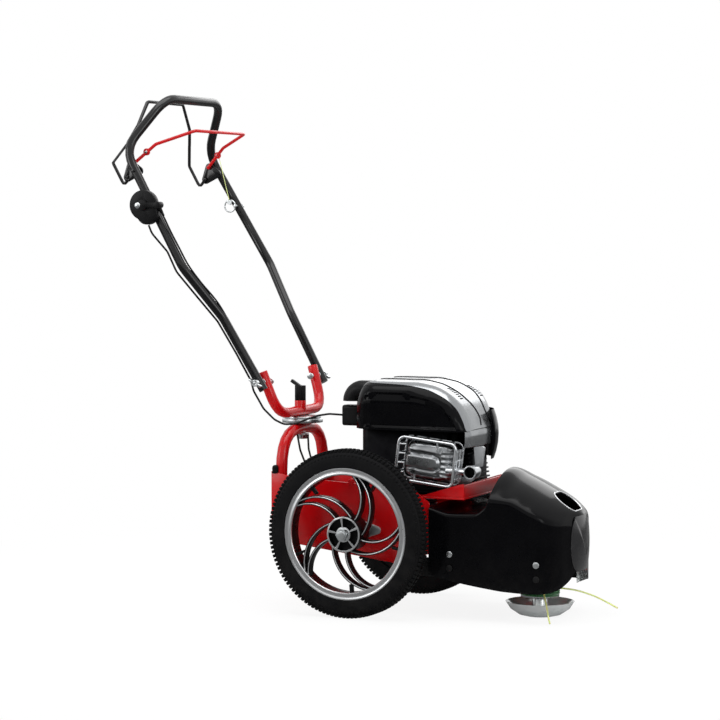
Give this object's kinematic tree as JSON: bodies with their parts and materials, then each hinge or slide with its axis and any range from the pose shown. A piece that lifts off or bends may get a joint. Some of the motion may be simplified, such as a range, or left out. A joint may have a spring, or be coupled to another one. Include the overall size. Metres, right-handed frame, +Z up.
{
  "type": "wheeled string trimmer",
  "caption": "Wheeled garden string trimmer with swirl-spoke wheels, petrol engine, belt-driven line head under a hood, and a swivelling handle with bails.",
  "frame": {"origin": "on the ground, midway between the wheels under the axle", "axes": "+X forward to the hood, +Y to the operator's left, +Z up"},
  "size_m": [1.2059, 0.5501, 1.2429],
  "materials": {
    "tyre_rubber": "moulded, dull",
    "wheel_moulding": "black moulding with silver painted faces",
    "bright_steel": "zinc plated",
    "red_paint": "gloss powder coat",
    "black_paint": "satin powder coat",
    "black_plastic": "moulded, fine grain",
    "lever_plastic": "moulded",
    "gloss_black": "gloss moulding",
    "silver_cover": "silver paint",
    "cast_alloy": "die cast, dark",
    "machined_steel": "turned",
    "guard_metal": "pressed sheet",
    "dish_steel": "polished",
    "belt_rubber": "woven jacket",
    "head_plastic": "moulded",
    "nylon_line": "translucent",
    "cable_jacket": "smooth jacket",
    "clear_flap": "clear sheet"
  },
  "bodies": {
    "chassis": {"right_side_plate": "red_paint", "left_side_plate": "red_paint", "axle_bearings": "bright_steel", "gearbox": "cast_alloy", "drive_belt": "belt_rubber", "cross_tubes": "red_paint", "engine_plate": "red_paint", "front_gussets": "red_paint", "front_frame": "red_paint", "arch_tube": "red_paint", "arch_bolt": "bright_steel", "swivel_base": "bright_steel", "engine_block": "cast_alloy", "cylinder_fins": "cast_alloy", "engine_shroud": "gloss_black", "top_cover": "silver_cover", "front_rim": "gloss_black", "rear_cap": "silver_cover", "carburettor_box": "black_plastic", "dipstick": "lever_plastic", "muffler": "guard_metal", "muffler_guard": "guard_metal", "exhaust_outlet": "guard_metal", "head_belt": "belt_rubber", "hood": "gloss_black", "hood_bolts": "bright_steel", "front_flap": "clear_flap", "spindle_housing": "cast_alloy", "engine_cable": "cable_jacket", "drive_cables": "cable_jacket"},
    "right_wheel_set": {"right_tyre": "tyre_rubber", "right_wheel": "wheel_moulding", "right_half_shaft": "bright_steel", "right_axle_nut": "bright_steel"},
    "left_wheel_set": {"left_tyre": "tyre_rubber", "left_wheel": "wheel_moulding", "left_half_shaft": "bright_steel", "left_axle_nut": "bright_steel"},
    "trimmer_head": {"spindle_shaft": "bright_steel", "driven_pulley": "machined_steel", "line_head": "head_plastic", "front_line": "nylon_line", "side_line": "nylon_line", "ground_dish": "dish_steel"},
    "crank": {"crankshaft": "machined_steel"},
    "drive_input": {"input_pulley": "machined_steel"},
    "swivel": {"swivel_disc": "bright_steel", "yoke": "red_paint"},
    "knob": {"lock_knob": "black_plastic"},
    "handle": {"handle_tube": "black_paint", "clamp_bolts": "bright_steel", "wing_nuts": "bright_steel", "bail_brackets": "black_paint", "throttle_housing": "black_plastic", "rope_guide": "bright_steel", "leg_cable": "cable_jacket"},
    "engine_stop_bail": {"black_bail": "black_paint"},
    "drive_bail": {"red_bail": "red_paint"},
    "throttle": {"throttle_lever": "lever_plastic"},
    "fuel": {"fuel_cap": "black_plastic"}
  },
  "joints": [
    {"name": "right_wheel_spin", "type": "hinge", "parent": "chassis", "child": "right_wheel_set", "pos_m": [0, -0.22, 0.2], "axis": [0, 1, 0], "continuous": true},
    {"name": "left_wheel_spin", "type": "hinge", "parent": "chassis", "child": "left_wheel_set", "pos_m": [0, 0.22, 0.2], "axis": [0, 1, 0], "continuous": true},
    {"name": "head_spin", "type": "hinge", "parent": "chassis", "child": "trimmer_head", "pos_m": [0.4, 0, 0.15], "axis": [0, 0, 1], "continuous": true},
    {"name": "crank_spin", "type": "hinge", "parent": "chassis", "child": "crank", "pos_m": [0.105, 0, 0.3], "axis": [0, 0, 1], "continuous": true},
    {"name": "drive_input_spin", "type": "hinge", "parent": "chassis", "child": "drive_input", "pos_m": [-0.028, 0, 0.24], "axis": [0, 0, 1], "continuous": true},
    {"name": "handle_swivel", "type": "hinge", "parent": "chassis", "child": "swivel", "pos_m": [-0.222, 0, 0.45], "axis": [0, 0, 1], "range_deg": [-25, 25], "deforming": ["engine_cable"]},
    {"name": "lock_knob_turn", "type": "hinge", "parent": "swivel", "child": "knob", "pos_m": [-0.228, 0, 0.5], "axis": [0, 0, 1], "range_deg": [0, 90]},
    {"name": "handle_tilt", "type": "hinge", "parent": "swivel", "child": "handle", "pos_m": [-0.25401, 0, 0.546], "axis": [0, 1, 0], "range_deg": [-10, 10], "deforming": ["engine_cable"]},
    {"name": "black_bail_squeeze", "type": "hinge", "parent": "handle", "child": "engine_stop_bail", "pos_m": [-0.59387, 0, 1.04], "axis": [0, 1, 0], "range_deg": [0, 20], "stiffness_Nm_per_rad": 1.2, "springref_deg": -11.46},
    {"name": "red_bail_squeeze", "type": "hinge", "parent": "handle", "child": "drive_bail", "pos_m": [-0.58387, 0, 1.071], "axis": [0, -1, 0], "range_deg": [0, 30], "stiffness_Nm_per_rad": 1.2, "springref_deg": -11.46},
    {"name": "throttle_lever_turn", "type": "hinge", "parent": "handle", "child": "throttle", "pos_m": [-0.52211, -0.25, 0.972], "axis": [0, 1, 0], "range_deg": [-35, 35]},
    {"name": "fuel_cap_turn", "type": "hinge", "parent": "chassis", "child": "fuel", "pos_m": [0.075, 0.168, 0.505], "axis": [0, 0, 1], "range_deg": [0, 90]}
  ],
  "couplings": [
    {"joint": "crank_spin", "follows": "head_spin", "ratio": 1.3333},
    {"joint": "drive_input_spin", "follows": "head_spin", "ratio": 0.88889}
  ]
}
